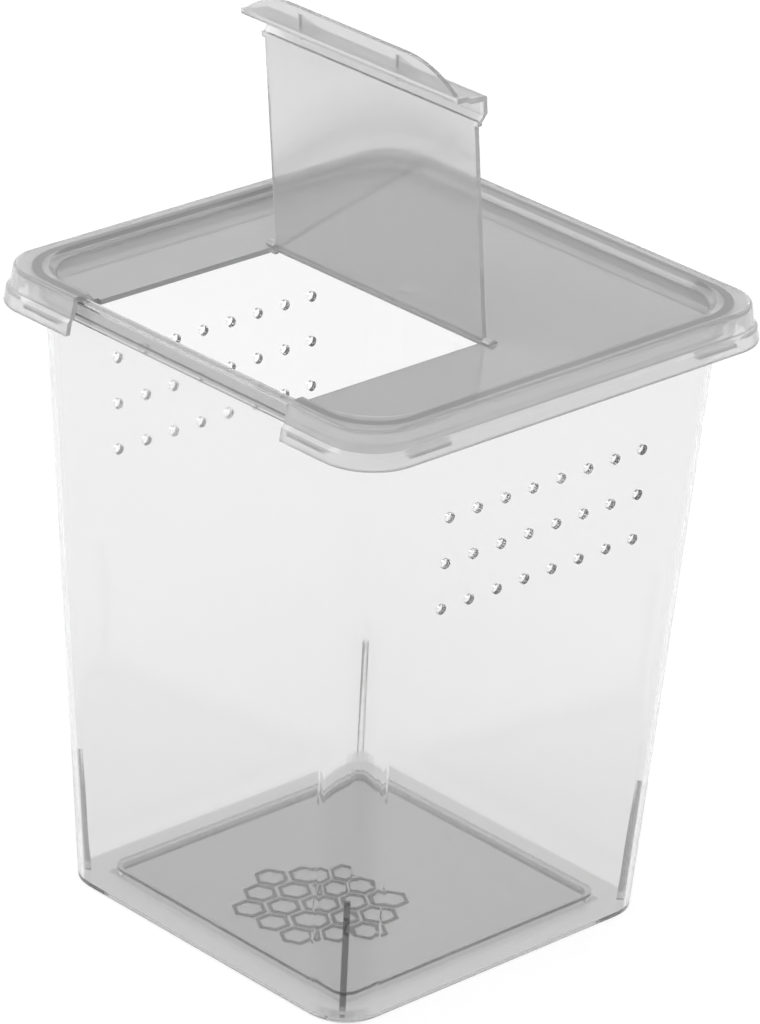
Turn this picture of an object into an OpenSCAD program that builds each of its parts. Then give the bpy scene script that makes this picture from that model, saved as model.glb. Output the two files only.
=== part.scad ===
// Clear keeper box for crickets and other small animals: a tall drafted tub with vent holes in two
// opposite walls, a lid with a raised rim, and a feeding flap hinged across the middle of the lid.
// Frame: +Z up, origin at the centre of the tub's base, the flap opens at the -Y side.
// The flap is drawn standing open and turns about its hinge rod, along X.

/* [Tub] */
// Width of the tub across its flat walls, outside, at the base
base_w = 115.8; // [100:0.1:150]
// Height of the tub, to the top of its collar
tub_h = 180.7; // [165:0.1:240]
// How far each wall leans out for every millimetre of height
draft = 0.052; // [0.03:0.001:0.07]
// Thickness of the tub's walls
wall_t = 1.5; // [1.2:0.1:2.4]
// Thickness of the tub's floor
floor_t = 1.6; // [1.2:0.1:3]
// Radius of the tub's upright corners, outside
corner_r = 13; // [9:0.5:18]
// Bevel along the tub's bottom edge
base_bevel = 0.8; // [0.6:0.1:2]

/* [Floor] */
// How far the middle of the floor is raised above the feet along the sides
foot_h = 2.2; // [0.8:0.1:3]
// Width of the feet, measured in from the edge of the base
foot_w = 10.4; // [6:0.1:16]
// Radius of the raised floor's corners
raised_r = 5; // [2:0.5:10]

/* [Corner ribs] */
// Height of the stacking ribs in the tub's corners, above the base
rib_h = 38.2; // [20:0.1:60]
// Thickness of a corner rib
rib_t = 1.4; // [1:0.1:2]
// How far a corner rib stands in from the corner, at its foot
rib_in = 3; // [2:0.1:5]
// How far a corner rib stands in from the corner, at its top
rib_in_top = 1.3; // [0.8:0.1:2]

/* [Collar] */
// How far the collar stands out beyond the line of the wall
collar_out = 3.75; // [3.4:0.05:6]
// Width of the collar's flat top, with its bevels
collar_w = 4.2; // [3.8:0.1:5]
// Thickness of the collar's flat top
collar_t = 1.3; // [1:0.1:1.6]
// Height of the collar's turned-down lip
lip_h = 6; // [4.5:0.1:8]
// Thickness of that lip
lip_t = 1.2; // [1:0.1:1.6]
// How far below the top of the tub the wall starts to step out
step_drop = 6.5; // [5.5:0.1:9]
// Ledge inside the wall where it steps out
ledge = 0.3; // [0.2:0.05:0.6]
// Bevel on the collar's inner top edge
inner_bevel = 1.2; // [0.8:0.1:1.4]
// Bevel on the collar's outer top edge
outer_bevel = 0.4; // [0.2:0.1:0.8]

/* [Vent holes] */
// Diameter of a vent hole
vent_d = 3; // [1.5:0.1:4]
// Spacing of the vent holes along the wall
vent_pitch = 10; // [6:0.5:11]
// Spacing of the rows of vent holes
vent_row_pitch = 13.3; // [8:0.1:18]
// Number of vent holes in a row
vent_columns = 8; // [4:1:8]
// Number of rows of vent holes in each of the two walls
vent_rows = 3; // [1:1:4]
// How far the top row of vent holes lies below the top of the tub
vent_drop = 33.5; // [20:0.5:45]

/* [Lid] */
// Thickness of the lid and of the flap
lid_t = 1.5; // [1.3:0.1:2]
// Radius of the corners of the lid's rim, outside
lid_r = 13; // [9:0.5:18]
// Depth of the lid's panel below the top of its rim, and width of the slope between them
recess_h = 2.1; // [1.8:0.1:2.4]
// Width of the slope's wall, measured level
slope_t = 1.25; // [1:0.05:1.5]
// Radius of the panel's corners, inside the rim
recess_r = 16.5; // [13:0.5:20]
// Rounding of the rim's outer top edge
rim_round = 0.9; // [0.5:0.1:1.2]
// Height of the lid's skirt, from the top of the rim to its bottom edge
skirt_h = 10.3; // [9:0.1:14]
// How far the skirt flares above its proud band
skirt_flare = 0.85; // [0.3:0.05:1.5]
// Height of the proud band along the bottom of the skirt
band_h = 3.6; // [2.5:0.1:4.5]
// How far the proud band steps out from the skirt
band_step = 0.9; // [0.5:0.1:1.4]
// How far the proud band flares over its height
band_flare = 0.6; // [0.2:0.1:1]
// Clearance between the tub's collar and the inside of the lid's skirt
skirt_fit = 0.6; // [0.3:0.1:1]
// Clearance between the inside of the collar and the lid's panel
locate_fit = 0.25; // [0.15:0.05:0.5]
// Clearance between the tub's collar and the catch beads inside the skirt
bead_fit = 0.2; // [0.1:0.05:0.5]
// Length of a catch bead
bead_l = 14; // [8:1:16]
// Thickness of a catch bead
bead_t = 1; // [0.6:0.1:1.2]
// Diameter of the moulding mark on the panel
gate_d = 6.5; // [3:0.5:12]
// Height of the moulding mark
gate_h = 0.3; // [0.2:0.1:0.8]
// Distance of the moulding mark behind the middle of the lid
gate_back = 6.5; // [4:0.5:40]
// Distance of the moulding mark to the right of the middle of the lid
gate_right = 5; // [-20:0.5:20]

/* [Flap] */
// Width of the gap in the lid's rim that the flap fills
gap_w = 83.5; // [60:0.5:90]
// How far the opening in the panel is narrower than the gap, on each side
opening_in = 1.2; // [1:0.1:4]
// Distance of the hinge line in front of the lid's middle
hinge_front = 2.5; // [0:0.5:20]
// Running gap round the flap
flap_gap = 0.5; // [0.3:0.1:0.8]
// Gap between the flap and the top of the collar when the flap is shut
flap_rest = 0.1; // [0.05:0.05:0.3]
// Angle at which the flap stands open, from shut
open_angle = 83.5; // [60:0.5:100]
// How far the flap lies to the right of the lid's middle
flap_shift = 1.6; // [-5:0.1:5]
// Diameter of the flap's hinge rod and pins
pin_d = 1.8; // [1.6:0.1:2.2]
// Length of a hinge pin
pin_l = 2; // [1.5:0.1:3]
// Running clearance round a hinge pin
pin_fit = 0.06; // [0.03:0.01:0.1]
// Wall of the socket round a hinge pin
socket_t = 0.8; // [0.6:0.1:1.2]

/* [Finger tab] */
// How far the finger tab stands out from the flap's skirt
tab_out = 7; // [4:0.1:10]
// Thickness of the finger tab
tab_t = 1.3; // [1:0.1:1.8]
// Radius of the rounded ends of the tab
tab_r = 28; // [12:1:40]
// How far the tab ends inside each end of the flap
tab_inset = 1; // [0.5:0.5:10]
// Distance of each gusset from the middle of the tab
gusset_x = 18.5; // [8:0.5:24]
// Thickness of a gusset
gusset_t = 1.2; // [0.8:0.1:1.8]

/* [Hidden] */
$fn = 96;
clear_plastic = [0.86, 0.88, 0.89, 0.5];
// How deep one shape is sunk into the next where the two are joined
sink = 0.7;
// How far a cutting shape runs past what it cuts
past = 2;
far = 4 * base_w;

// The tub's walls: half width at a height, and the lean of its upright corners
base_half = base_w / 2;
function outer_at(z) = base_half + draft * z;
function inner_at(z) = outer_at(z) - wall_t;
slant = sqrt(1 + draft * draft);
lean = atan(draft * sqrt(2));
wall_turn = acos(draft * draft / (1 + draft * draft)) / 2;
inner_r = corner_r - wall_t / slant;
function corner_at(z) = (base_half - corner_r * slant + draft * z) * sqrt(2) + inner_r / cos(lean);

// The tub's floor and collar
raised_half = base_half - foot_w;
step_z = tub_h - step_drop;
collar_half = outer_at(tub_h) + collar_out;
collar_in = collar_half - collar_w;
collar_wall = collar_in + collar_t;
collar_c = outer_at(step_z) - corner_r;
lip_z = tub_h - lip_h;

// The lid, from the collar outward and inward
land_z = tub_h + lid_t;
panel_z = land_z - recess_h;
panel_under = panel_z - lid_t;
skirt_in = collar_half + skirt_fit;
ridge = skirt_in + lid_t;
rim_c = ridge - lid_r;
band_z = land_z - skirt_h + band_h;
skirt_z = land_z - skirt_h;
flared = ridge + skirt_flare;
band = flared + band_step;
band_foot = band + band_flare;
locate = collar_in - locate_fit;
slope_top = collar_in + inner_bevel - locate_fit;
land_in = slope_top - slope_t + lid_t;
panel_half = land_in - recess_h;
recess_c = panel_half - recess_r;
land_mid = (slope_top + skirt_in) / 2;
land_lap = 0.4;
bead_in = collar_half + bead_fit;
bead_z = lip_z - bead_t - 0.3;
bead_x = (gap_w / 2 + abs(flap_shift) + rim_c) / 2;

// The flap and its hinge
opening_half = gap_w / 2 - opening_in;
gap_start = panel_half - 2 * land_lap - flap_gap;
flap_half = gap_w / 2 - flap_gap;
plate_half = opening_half - flap_gap;
hinge_z = panel_z - lid_t / 2;
opening_back = pin_d / 2 + flap_gap - hinge_front;
pin_reach = plate_half + pin_l;
socket_d = pin_d + 2 * pin_fit + 2 * socket_t;
socket_reach = pin_reach + flap_gap + socket_t;

// A square block with flat leaning walls and leaning round corners, from height low to high.
// half and r are the half width and the corner radius it has at height 0.
module drafted(half, r, low, high) {
    walls = [
        [-half - draft * low, low],
        [half + draft * low, low],
        [half + draft * high, high],
        [-half - draft * high, high]
    ];
    c = half - r * slant;
    difference() {
        intersection() {
            rotate([90, 0, 0])
                linear_extrude(far, center = true)
                    polygon(walls);
            rotate([90, 0, 90])
                linear_extrude(far, center = true)
                    polygon(walls);
        }
        for (a = [0:90:270])
            rotate([0, 0, a])
                translate([c, c, 0])
                    rotate([0, lean, 45])
                        translate([0, 0, low - r])
                            linear_extrude(high - low + 3 * r)
                                corner_waste(r);
    }
}

// What lies outside a round corner, between the two lines where it meets the walls.
module corner_waste(r) {
    x = 2 * r * cos(wall_turn);
    y = 2 * r * sin(wall_turn);
    difference() {
        polygon([[0, 0], [x, -y], [4 * r, 0], [x, y]]);
        circle(r = r);
    }
}

// Sweeps a flat shape round a square with round corners. In the shape, x is the distance from the
// middle of the square and y is height. The corners turn about points c from the middle both ways.
module swept(c) {
    for (a = [0:90:270])
        rotate([0, 0, a]) {
            translate([c, c, 0])
                rotate_extrude(angle = 90)
                    translate([-c, 0])
                        children();
            rotate([90, 0, 0])
                linear_extrude(2 * c, center = true)
                    children();
        }
}

// A square with round corners that turn about points c from the middle both ways.
module round_square(half, c) {
    square([2 * half, 2 * c], center = true);
    square([2 * c, 2 * half], center = true);
    for (x = [-c, c], y = [-c, c])
        translate([x, y])
            circle(r = half - c);
}

module tub() {
    color(clear_plastic)
        difference() {
            union() {
                difference() {
                    drafted(base_half, corner_r, 0, step_z);
                    drafted(base_half - wall_t, inner_r, floor_t, step_z + past);
                    bottom_edge();
                }
                raised_floor();
                corner_ribs();
                swept(collar_c)
                    collar();
            }
            translate([0, 0, -past])
                linear_extrude(foot_h + past)
                    round_square(raised_half - floor_t, raised_half - raised_r);
            vents();
        }
}

// The bevel along the bottom edge, as the waste outside it.
module bottom_edge() {
    swept(base_half - corner_r)
        polygon([
            [base_half - base_bevel - past, -past],
            [base_half + base_bevel + past, -past],
            [base_half + base_bevel + past, base_bevel + past],
            [base_half + past, base_bevel + past]
        ]);
}

// The block of the raised floor. The hollow under it is cut from below.
module raised_floor() {
    linear_extrude(foot_h + floor_t)
        round_square(raised_half, raised_half - raised_r);
}

// An upright rib on the diagonal in each corner, which keeps nested tubs from jamming.
module corner_ribs() {
    low = floor_t / 2;
    for (a = [45:90:315])
        rotate([90, 0, a])
            linear_extrude(rib_t, center = true)
                polygon([
                    [corner_at(low) - rib_in, low],
                    [corner_at(low) + sink, low],
                    [corner_at(rib_h) + sink, rib_h],
                    [corner_at(rib_h) - rib_in_top, rib_h]
                ]);
}

// The collar's section: it leaves the wall at 45 degrees, turns up, out and down.
module collar() {
    in = inner_at(step_z) + ledge;
    out = outer_at(step_z);
    polygon([
        [in, step_z],
        [out - sink, step_z - 2 * sink],
        [collar_wall, step_z - sink + collar_wall - out],
        [collar_wall, tub_h - collar_t],
        [collar_half - lip_t, tub_h - collar_t],
        [collar_half - lip_t, lip_z],
        [collar_half, lip_z],
        [collar_half, tub_h - outer_bevel],
        [collar_half - outer_bevel, tub_h],
        [collar_in + inner_bevel, tub_h],
        [collar_in, tub_h - inner_bevel],
        [collar_in, step_z + collar_in - in]
    ]);
}

// Rows of vent holes through both of the walls that face along X.
module vents() {
    for (row = [0:vent_rows - 1], column = [0:vent_columns - 1])
        translate([0, (column - (vent_columns - 1) / 2) * vent_pitch, tub_h - vent_drop - row * vent_row_pitch])
            rotate([0, 90, 0])
                cylinder(d = vent_d, h = far, center = true);
}

module lid() {
    color(clear_plastic)
        difference() {
            union() {
                difference() {
                    lid_shell();
                    flap_cut();
                }
                sockets();
            }
            translate([flap_shift, -hinge_front, hinge_z])
                rotate([0, 90, 0])
                    cylinder(d = pin_d + 2 * pin_fit, h = 2 * (pin_reach + flap_gap), center = true);
        }
}

// The lid as it would be without the flap's opening.
module lid_shell() {
    swept(rim_c)
        skirt();
    swept(recess_c)
        slope(0);
    translate([0, 0, tub_h])
        linear_extrude(lid_t)
            difference() {
                round_square(land_mid + land_lap, rim_c);
                round_square(land_mid - land_lap, recess_c);
            }
    translate([0, 0, panel_under])
        linear_extrude(lid_t)
            round_square(panel_half - land_lap, recess_c);
    translate([gate_right, gate_back, panel_under + lid_t / 2])
        cylinder(d = gate_d, h = lid_t / 2 + gate_h);
    beads();
}

// The rim's outer half and the skirt, in section.
module skirt() {
    difference() {
        polygon([
            [land_mid, tub_h],
            [skirt_in, tub_h],
            [flared - lid_t, band_z + band_step],
            [band - lid_t, band_z],
            [band_foot - lid_t, skirt_z],
            [band_foot, skirt_z],
            [band, band_z],
            [flared, band_z + band_step],
            [ridge, land_z - rim_round],
            [ridge, land_z],
            [land_mid, land_z]
        ]);
        difference() {
            translate([ridge - rim_round, land_z - rim_round])
                square(rim_round + past);
            translate([ridge - rim_round, land_z - rim_round])
                circle(r = rim_round);
        }
    }
}

// The rim's inner half, the slope down to the panel and the panel's edge, in section. The
// underside of the rim is raised by the height given.
module slope(raised) {
    polygon([
        [panel_half - 2 * land_lap, panel_under],
        [locate, panel_under],
        [locate, tub_h + locate - slope_top],
        [slope_top + raised, tub_h + raised],
        [land_mid, tub_h + raised],
        [land_mid, land_z],
        [land_in, land_z],
        [panel_half, panel_z],
        [panel_half - 2 * land_lap, panel_z]
    ]);
}

// The room for the flap: the opening in the panel and the wider gap through the rim.
module flap_cut() {
    translate([flap_shift - opening_half, -land_mid, panel_under - past])
        cube([2 * opening_half, land_mid + opening_back, lid_t + 2 * past]);
    translate([flap_shift - gap_w / 2, -band_foot - past, skirt_z - past])
        cube([gap_w, band_foot + past - gap_start, skirt_h + 2 * past]);
}

// The sockets that hold the flap's pins, on the panel beside the opening.
module sockets() {
    for (side = [-1, 1])
        translate([flap_shift + side * (opening_half + socket_reach) / 2, -hinge_front, hinge_z])
            rotate([0, 90, 0])
                cylinder(d = socket_d, h = socket_reach - opening_half, center = true);
}

// The catch beads inside the skirt, two on each side, just clear of the collar.
module beads() {
    for (a = [0:90:270], side = [-1, 1])
        rotate([0, 0, a])
            translate([side * bead_x - bead_l / 2, bead_in, bead_z])
                cube([bead_l, band_foot - lid_t / 2 - bead_in, bead_t]);
}

module flap() {
    translate([flap_shift, -hinge_front, hinge_z])
        rotate([-open_angle, 0, 0])
            translate([0, hinge_front, -hinge_z])
                flap_shut();
}

// The flap as it lies when it is shut.
module flap_shut() {
    color(clear_plastic) {
        rotate([90, 0, -90])
            linear_extrude(2 * flap_half, center = true)
                difference() {
                    union() {
                        skirt();
                        slope(flap_rest);
                    }
                    translate([slope_top, tub_h - flap_rest])
                        square([skirt_in - slope_top, 2 * flap_rest]);
                }
        translate([-plate_half, -gap_start - land_lap - flap_gap, panel_under])
            cube([2 * plate_half, gap_start + land_lap + flap_gap - hinge_front, lid_t]);
        translate([0, -hinge_front, hinge_z])
            rotate([0, 90, 0])
                cylinder(d = pin_d, h = 2 * plate_half, center = true);
        translate([0, -hinge_front, hinge_z])
            rotate([0, 90, 0])
                cylinder(d = pin_d, h = 2 * pin_reach, center = true);
        finger_tab();
    }
}

// The bow-shaped tab along the bottom of the flap's skirt, and its two gussets.
module finger_tab() {
    half = flap_half - tab_inset;
    bow_x = half - sqrt(2 * tab_r * tab_out - tab_out * tab_out);
    translate([0, -band_foot, skirt_z])
        linear_extrude(tab_t)
            mirror([0, 1]) {
                translate([-half, -lid_t / 2])
                    square([2 * half, lid_t / 2]);
                intersection() {
                    translate([-half, 0])
                        square([2 * half, tab_out]);
                    union() {
                        translate([-bow_x, 0])
                            square([2 * bow_x, tab_out]);
                        for (side = [-1, 1])
                            translate([side * bow_x, tab_out - tab_r])
                                circle(r = tab_r);
                    }
                }
            }
    for (side = [-1, 1])
        translate([side * gusset_x, 0, 0])
            rotate([90, 0, -90])
                linear_extrude(gusset_t, center = true)
                    polygon([
                        [flared - lid_t / 2, skirt_z + tab_t / 2],
                        [band_foot + tab_out - tab_t, skirt_z + tab_t / 2],
                        [flared, land_z - rim_round - tab_t],
                        [flared - lid_t / 2, land_z - rim_round - tab_t]
                    ]);
}

tub();
lid();
flap();
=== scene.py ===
import math

import bpy
from mathutils import Matrix, Vector


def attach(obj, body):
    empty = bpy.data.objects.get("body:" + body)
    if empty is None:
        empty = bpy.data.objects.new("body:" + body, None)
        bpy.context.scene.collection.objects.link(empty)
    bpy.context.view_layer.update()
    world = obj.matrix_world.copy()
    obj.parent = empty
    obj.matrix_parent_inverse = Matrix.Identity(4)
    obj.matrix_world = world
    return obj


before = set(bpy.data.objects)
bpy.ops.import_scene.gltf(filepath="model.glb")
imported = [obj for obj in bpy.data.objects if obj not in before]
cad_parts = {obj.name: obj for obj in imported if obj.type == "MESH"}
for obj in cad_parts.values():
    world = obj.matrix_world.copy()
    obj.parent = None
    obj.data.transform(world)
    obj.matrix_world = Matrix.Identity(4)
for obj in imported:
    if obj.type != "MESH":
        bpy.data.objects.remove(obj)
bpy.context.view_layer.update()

# ---------------------------------------------------------------- camera
# The photograph looks down a little on the box's nearest corner, through a long lens held
# slightly out of level, so that two walls, the lid and the open flap show together.
camera_turn = math.radians(45.963)
camera_lift = math.radians(24.761)
camera_roll = math.radians(2.796)
camera_away = 1.62294
camera_aim = Vector((0.004499, -0.001231, 0.116858))
lens_length = 212.53
sensor_width = 36
sees_from = 0.05
sees_to = 60

back = Vector(
    (
        math.sin(camera_turn) * math.cos(camera_lift),
        -math.cos(camera_turn) * math.cos(camera_lift),
        math.sin(camera_lift),
    )
)
level = Vector((math.cos(camera_turn), math.sin(camera_turn), 0))
upright = back.cross(level)
across = math.cos(camera_roll) * level + math.sin(camera_roll) * upright
upward = math.cos(camera_roll) * upright - math.sin(camera_roll) * level
lens = bpy.data.cameras.new("camera")
lens.lens = lens_length
lens.sensor_width = sensor_width
lens.clip_start = sees_from
lens.clip_end = sees_to
camera = bpy.data.objects.new("camera", lens)
camera.matrix_world = Matrix.Translation(camera_aim + back * camera_away) @ Matrix(
    (across, upward, back)
).transposed().to_4x4()
bpy.context.scene.collection.objects.link(camera)
bpy.context.scene.camera = camera
bpy.context.scene.view_settings.view_transform = "Standard"

# ---------------------------------------------------------------- studio
# A plain white sweep under even, soft light. Clear plastic shows only by what it bends and
# mirrors, so the room is white low down and a light grey overhead, with no dark side.
room_white_up_to = 0.1
room_grey_from = 0.7
room_white = 1.0
room_grey = 0.5
room_strength = 1.0

world = bpy.data.worlds.new("studio")
bpy.context.scene.world = world
world.use_nodes = True
room = world.node_tree
room.nodes.clear()
room_out = room.nodes.new("ShaderNodeOutputWorld")
room_light = room.nodes.new("ShaderNodeBackground")
room_shade = room.nodes.new("ShaderNodeValToRGB")
room_height = room.nodes.new("ShaderNodeSeparateXYZ")
room_place = room.nodes.new("ShaderNodeTexCoord")
room.links.new(room_place.outputs["Generated"], room_height.inputs[0])
room.links.new(room_height.outputs["Z"], room_shade.inputs["Fac"])
room.links.new(room_shade.outputs["Color"], room_light.inputs["Color"])
room.links.new(room_light.outputs[0], room_out.inputs["Surface"])
for stop, position, grey in zip(
    room_shade.color_ramp.elements,
    (room_white_up_to, room_grey_from),
    (room_white, room_grey),
):
    stop.position = position
    stop.color = (grey, grey, grey, 1)
room_light.inputs["Strength"].default_value = room_strength

# The paper lies just under the tub's foot. It shows white to the camera, in reflections and
# through the plastic, but lights the box from below only as much as grey paper would.
floor_half = 4.0
floor_drop = 0.0002
paper_grey = 0.3
paper_shown = 0.84

floor_mesh = bpy.data.meshes.new("floor")
floor_mesh.from_pydata(
    [
        (-floor_half, -floor_half, 0),
        (floor_half, -floor_half, 0),
        (floor_half, floor_half, 0),
        (-floor_half, floor_half, 0),
    ],
    [],
    [(0, 1, 2, 3)],
)
floor = bpy.data.objects.new("floor", floor_mesh)
floor.location.z = -floor_drop
bpy.context.scene.collection.objects.link(floor)
paper = bpy.data.materials.new("white paper")
paper.use_nodes = True
sheet = paper.node_tree
sheet.nodes.clear()
sheet_out = sheet.nodes.new("ShaderNodeOutputMaterial")
sheet_lit = sheet.nodes.new("ShaderNodeBsdfDiffuse")
sheet_lit.inputs["Color"].default_value = (paper_grey, paper_grey, paper_grey, 1)
sheet_seen = sheet.nodes.new("ShaderNodeEmission")
sheet_seen.inputs["Color"].default_value = (paper_shown, paper_shown, paper_shown, 1)
sheet_both = sheet.nodes.new("ShaderNodeAddShader")
sheet_pick = sheet.nodes.new("ShaderNodeMixShader")
sheet_path = sheet.nodes.new("ShaderNodeLightPath")
sheet_or = sheet.nodes.new("ShaderNodeMath")
sheet_or.operation = "MAXIMUM"
sheet_any = sheet.nodes.new("ShaderNodeMath")
sheet_any.operation = "MAXIMUM"
sheet.links.new(sheet_path.outputs["Is Camera Ray"], sheet_or.inputs[0])
sheet.links.new(sheet_path.outputs["Is Glossy Ray"], sheet_or.inputs[1])
sheet.links.new(sheet_or.outputs[0], sheet_any.inputs[0])
sheet.links.new(sheet_path.outputs["Is Transmission Ray"], sheet_any.inputs[1])
sheet.links.new(sheet_lit.outputs[0], sheet_both.inputs[0])
sheet.links.new(sheet_seen.outputs[0], sheet_both.inputs[1])
sheet.links.new(sheet_any.outputs[0], sheet_pick.inputs["Fac"])
sheet.links.new(sheet_lit.outputs[0], sheet_pick.inputs[1])
sheet.links.new(sheet_both.outputs[0], sheet_pick.inputs[2])
sheet.links.new(sheet_pick.outputs[0], sheet_out.inputs["Surface"])
floor_mesh.materials.append(paper)

lamp_size = 1.2
for name, place, power in (
    ("soft lamp left", (-1.6, -1.4, 1.9), 12),
    ("soft lamp right", (1.9, -0.9, 1.6), 8),
):
    lamp_data = bpy.data.lights.new(name, "AREA")
    lamp_data.size = lamp_size
    lamp_data.energy = power
    lamp = bpy.data.objects.new(name, lamp_data)
    lamp.location = place
    lamp.rotation_euler = (camera_aim - Vector(place)).to_track_quat("-Z", "Y").to_euler()
    bpy.context.scene.collection.objects.link(lamp)

# Light passes up to a dozen skins of plastic here, each of which counts as two bounces.
light_bounces = 32
bpy.context.scene.cycles.max_bounces = light_bounces
bpy.context.scene.cycles.transmission_bounces = light_bounces
bpy.context.scene.cycles.transparent_max_bounces = light_bounces
bpy.context.scene.cycles.glossy_bounces = light_bounces

# ---------------------------------------------------------------- tub
# The tub is one injection moulding in clear polystyrene, 1.5 mm thick, with leaning walls, a
# turned-down collar and drilled vent holes. The polished mould leaves it glossy, with faint
# flow waves and hairline scratches. Its grey tints are painted shade: the floor, feet and
# corner ribs read as a darker grey, the collar a little less so, and the walls darken low
# down.
plastic_ior = 1.5
wave_size = 0.03
wave_detail = 1.5
wave_depth = 0.0001
wave_strength = 0.35
scratch_size = 0.004
scratch_detail = 4
scratch_stretch = (6, 6, 0.7)
scratch_from = 0.45
scratch_to = 0.75
scratch_rough = 0.09


def work_out(tree, operation, first, second=0.0):
    # one step of arithmetic, on plain numbers or on what other nodes give
    step = tree.nodes.new("ShaderNodeMath")
    step.operation = operation
    for socket, value in zip(step.inputs, (first, second)):
        if isinstance(value, bpy.types.NodeSocket):
            tree.links.new(value, socket)
        else:
            socket.default_value = value
    return step.outputs[0]


def split(tree, place):
    # a place on the piece as its x, its y and its height
    parts = tree.nodes.new("ShaderNodeSeparateXYZ")
    tree.links.new(place, parts.inputs[0])
    return parts.outputs["X"], parts.outputs["Y"], parts.outputs["Z"]


def spread(tree, value, low, high, at_low, at_high):
    # goes evenly from at_low to at_high as the value goes from low to high
    fade = tree.nodes.new("ShaderNodeMapRange")
    fade.inputs["From Min"].default_value = low
    fade.inputs["From Max"].default_value = high
    fade.inputs["To Min"].default_value = at_low
    fade.inputs["To Max"].default_value = at_high
    tree.links.new(value, fade.inputs["Value"])
    return fade.outputs["Result"]


def below(tree, value, limit, soft=0.0002):
    # a mask of 1 below the limit and 0 above it, with a soft edge
    return spread(tree, value, limit - soft, limit + soft, 1, 0)


def both(tree, first_mask, second_mask):
    return work_out(tree, "MULTIPLY", first_mask, second_mask)


def grey_where(tree, mask, elsewhere, grey):
    # elsewhere is a grey or the shade so far; the mask lays another grey over it
    mix = tree.nodes.new("ShaderNodeMix")
    mix.data_type = "RGBA"
    shade_before, shade_there = mix.inputs[6], mix.inputs[7]
    if isinstance(elsewhere, bpy.types.NodeSocket):
        tree.links.new(elsewhere, shade_before)
    else:
        shade_before.default_value = (elsewhere, elsewhere, elsewhere, 1)
    shade_there.default_value = (grey, grey, grey, 1)
    tree.links.new(mask, mix.inputs[0])
    return mix.outputs[2]


def mottle(tree, place, size, detail, stretch=(1, 1, 1)):
    # an uneven pattern from 0 to 1, with blots of about this size in metres
    along = tree.nodes.new("ShaderNodeMapping")
    along.inputs["Scale"].default_value = stretch
    grain = tree.nodes.new("ShaderNodeTexNoise")
    grain.inputs["Scale"].default_value = 1 / size
    grain.inputs["Detail"].default_value = detail
    tree.links.new(place, along.inputs["Vector"])
    tree.links.new(along.outputs[0], grain.inputs["Vector"])
    return grain.outputs["Fac"]


def clear_plastic(name, rough, haze):
    # haze is the share of light that the plastic scatters instead of letting it through
    plastic = bpy.data.materials.new(name)
    plastic.use_nodes = True
    tree = plastic.node_tree
    body = tree.nodes["Principled BSDF"]
    body.inputs["Transmission Weight"].default_value = 1 - haze
    body.inputs["IOR"].default_value = plastic_ior
    place = tree.nodes.new("ShaderNodeTexCoord").outputs["Object"]
    waves = tree.nodes.new("ShaderNodeBump")
    waves.inputs["Strength"].default_value = wave_strength
    waves.inputs["Distance"].default_value = wave_depth
    tree.links.new(mottle(tree, place, wave_size, wave_detail), waves.inputs["Height"])
    tree.links.new(waves.outputs[0], body.inputs["Normal"])
    scratches = mottle(tree, place, scratch_size, scratch_detail, scratch_stretch)
    scratched = spread(
        tree, scratches, scratch_from, scratch_to, rough, rough + scratch_rough
    )
    tree.links.new(scratched, body.inputs["Roughness"])
    return plastic, tree, body.inputs["Base Color"], place


tub_rough = 0.01
tub_haze = 0.05
tub_wall = 0.95
# painted shade: the walls are a little darker towards the floor
tub_wall_low_painted_shade = 0.9
# painted shade: the feet and the floor of the tub are tinted darker grey, where the shade
# under the box shows through
tub_foot_painted_shade = 0.7
tub_floor_painted_shade = 0.49
# painted shade in the corner ribs
tub_rib_painted_shade = 0.3
# painted shade on the collar band
tub_collar_painted_shade = 0.74
wall_shade_up_to = 0.09
collar_low = 0.174
collar_soft = 0.0005
rib_reach = 0.0012
rib_top = 0.0383
foot_reach = 0.0563
floor_reach = 0.0477
floor_top = 0.0041

tub_plastic, tree, colour, place = clear_plastic("tub clear polystyrene", tub_rough, tub_haze)
x, y, height = split(tree, place)
wide = work_out(tree, "ABSOLUTE", x)
deep = work_out(tree, "ABSOLUTE", y)
out = work_out(tree, "MAXIMUM", wide, deep)
off_diagonal = work_out(tree, "ABSOLUTE", work_out(tree, "SUBTRACT", wide, deep))
flat = below(tree, height, floor_top)
# the painted shade on the walls fades out with height
wall_low_shade_part = spread(tree, height, 0, wall_shade_up_to, 1, 0)
# where the corner ribs get their painted shade
rib_shade_part = both(tree, below(tree, off_diagonal, rib_reach), below(tree, height, rib_top))
# where the collar band gets its painted shade
collar_shade_part = spread(tree, height, collar_low - collar_soft, collar_low, 0, 1)
# where the feet and the floor get their painted shade
foot_shade_part = both(tree, flat, below(tree, out, foot_reach))
floor_shade_part = both(tree, flat, below(tree, out, floor_reach))
# the plain wall tint, with the painted shade laid over it part by part
shade = tub_wall
for part, grey in (
    (wall_low_shade_part, tub_wall_low_painted_shade),
    (rib_shade_part, tub_rib_painted_shade),
    (collar_shade_part, tub_collar_painted_shade),
    (foot_shade_part, tub_foot_painted_shade),
    (floor_shade_part, tub_floor_painted_shade),
):
    shade = grey_where(tree, part, shade, grey)
tree.links.new(shade, colour)
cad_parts["tub"].material_slots[0].material = tub_plastic

# ---------------------------------------------------------------- floor pattern
# A plain honeycomb stands a little proud of the middle of the floor. It is part of the tub's
# moulding: open six-sided rings with a matt face, each a little apart from the next.
cell_sides = 6
cell_reach = 0.005
cell_wall = 0.0012
cell_spacing = 0.0056
cell_rings = 2
pattern_middle = Vector((0.006, -0.018))
pattern_low = 0.0037
pattern_high = 0.0041
face_rough = 0.4
face_haze = 0.75
face_grain = 0.006
face_grain_detail = 3
face_dark = 0.36
face_light = 0.46

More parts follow.
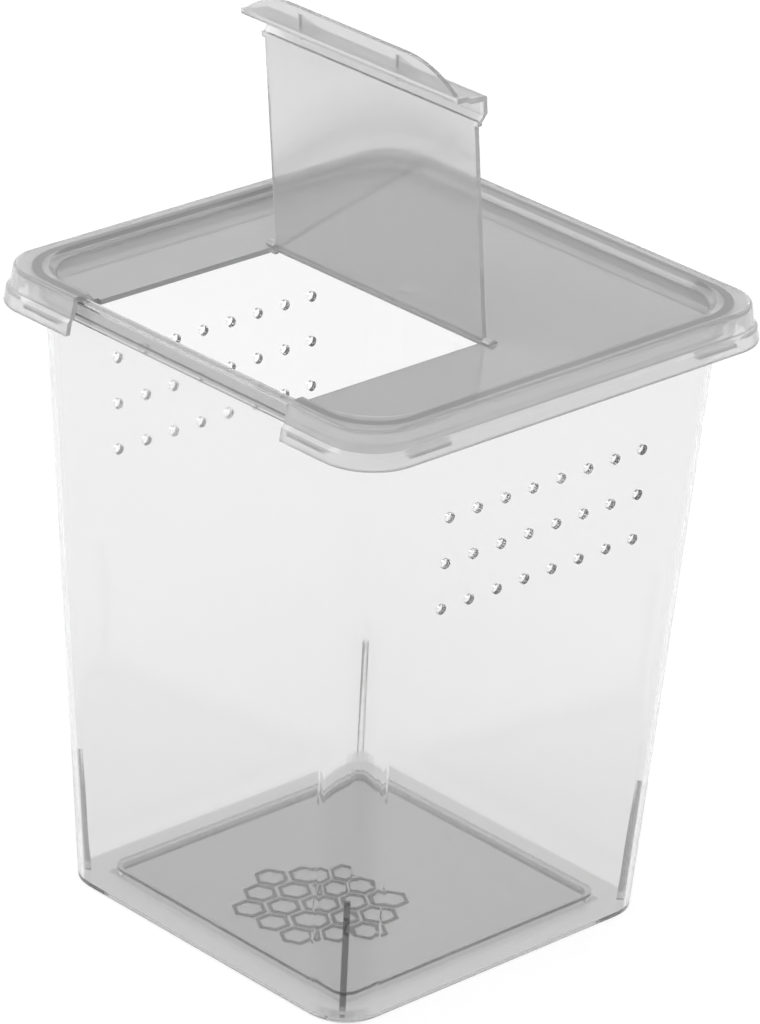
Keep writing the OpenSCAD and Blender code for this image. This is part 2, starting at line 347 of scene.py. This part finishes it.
cell_profile = (
    (cell_reach, pattern_low),
    (cell_reach, pattern_high),
    (cell_reach - cell_wall, pattern_high),
    (cell_reach - cell_wall, pattern_low),
)
pattern_points = []
pattern_faces = []
for column in range(-cell_rings, cell_rings + 1):
    for row in range(-cell_rings, cell_rings + 1):
        if abs(column + row) > cell_rings:
            continue
        middle = pattern_middle + cell_spacing * Vector(
            (math.sqrt(3) * (column + row / 2), 1.5 * row)
        )
        start = len(pattern_points)
        for reach, z in cell_profile:
            for side in range(cell_sides):
                turn = math.pi / 6 + side * math.pi / 3
                pattern_points.append(
                    (middle.x + reach * math.cos(turn), middle.y + reach * math.sin(turn), z)
                )
        for corner in range(len(cell_profile)):
            here = start + cell_sides * corner
            there = start + cell_sides * ((corner + 1) % len(cell_profile))
            for side in range(cell_sides):
                after = (side + 1) % cell_sides
                pattern_faces.append(
                    [here + side, here + after, there + after, there + side]
                )
pattern_mesh = bpy.data.meshes.new("floor honeycomb")
pattern_mesh.from_pydata(pattern_points, [], pattern_faces)
pattern = bpy.data.objects.new("floor_honeycomb", pattern_mesh)
bpy.context.scene.collection.objects.link(pattern)
matt_plastic, tree, colour, place = clear_plastic("matt moulded face", face_rough, face_haze)
face = mottle(tree, place, face_grain, face_grain_detail)
tree.links.new(grey_where(tree, face, face_dark, face_light), colour)
pattern_mesh.materials.append(matt_plastic)
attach(pattern, "tub")

# ---------------------------------------------------------------- lid
# The lid is a second moulding of the same plastic, with a raised rim that clips over the
# collar and an opening from the middle to the front. It is hazier than the tub, and its sunk
# panel carries painted shade, a darker grey. A small moulding mark, a plain ring, shows
# lighter in the panel: a ring of painted highlight.
lid_rough = 0.04
lid_haze = 0.4
lid_rim = 0.98
# painted shade: the sunk panel is tinted a darker grey
lid_panel_painted_shade = 0.7
# painted highlight: a lighter ring at the edge of the moulding mark
lid_mark_highlight = 1.0
mark_middle = Vector((0.005, 0.0065))
mark_reach = 0.0031
mark_width = 0.001
panel_reach = 0.0668
panel_top = 0.1804


def away_from(tree, two_ways, middle):
    # how far a place on the piece lies from a middle, measured along two of its coordinates
    squares = []
    for way, centre in zip(two_ways, middle):
        off = work_out(tree, "SUBTRACT", way, centre)
        squares.append(work_out(tree, "MULTIPLY", off, off))
    return work_out(tree, "SQRT", work_out(tree, "ADD", *squares))


lid_plastic, tree, colour, place = clear_plastic("lid clear polystyrene", lid_rough, lid_haze)
x, y, height = split(tree, place)
out = work_out(tree, "MAXIMUM", work_out(tree, "ABSOLUTE", x), work_out(tree, "ABSOLUTE", y))
# where the sunk panel gets its painted shade
panel_shade_part = both(tree, below(tree, out, panel_reach), below(tree, height, panel_top))
# a ring of painted highlight just inside the moulding mark's edge, laid over the panel's
# painted shade
from_mark = away_from(tree, (x, y), mark_middle)
off_mark = work_out(tree, "SUBTRACT", from_mark, mark_reach - mark_width / 2)
mark_highlight_part = below(tree, work_out(tree, "ABSOLUTE", off_mark), mark_width / 2)
shade = grey_where(tree, panel_shade_part, lid_rim, lid_panel_painted_shade)
tree.links.new(grey_where(tree, mark_highlight_part, shade, lid_mark_highlight), colour)
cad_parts["lid"].material_slots[0].material = lid_plastic

# ---------------------------------------------------------------- flap
# The flap is the third moulding of the same plastic. It carries its own piece of the rim and
# a finger tab, and turns on two pins that snap into the lid. A painted reflection, a darker
# grey inside a curved edge, lies across its plate, and the plate's side edges are the clearest
# part.
flap_rough = 0.03
flap_haze = 0.3
# painted reflection: the plate is a darker grey inside a curved edge
flap_reflection_grey = 0.8
flap_beyond_reflection = 0.88
flap_side_edge = 1.0
flap_middle = 0.0016
plate_reach = 0.04
side_edge_soft = 0.0001
reflection_middle = Vector((0.0244, 0.1651))
reflection_reach = 0.0785
reflection_soft = 0.004
reflection_wander = 0.03
reflection_wander_detail = 2

flap_plastic, tree, colour, place = clear_plastic(
    "flap clear polystyrene", flap_rough, flap_haze
)
x, _, height = split(tree, place)
# the edge of the painted reflection wanders a little
wander = mottle(tree, place, reflection_wander, reflection_wander_detail)
from_reflection = away_from(tree, (x, height), reflection_middle)
reflection_edge = work_out(tree, "ADD", from_reflection, work_out(tree, "MULTIPLY", wander, reflection_soft))
reflection_part = below(tree, reflection_edge, reflection_reach, reflection_soft)
off_middle = work_out(tree, "ABSOLUTE", work_out(tree, "SUBTRACT", x, flap_middle))
side_edge = spread(tree, off_middle, plate_reach - side_edge_soft, plate_reach, 0, 1)
# the painted reflection inside the curve, and the plain tint beyond it
shade = grey_where(tree, reflection_part, flap_beyond_reflection, flap_reflection_grey)
tree.links.new(grey_where(tree, side_edge, shade, flap_side_edge), colour)
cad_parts["flap"].material_slots[0].material = flap_plastic
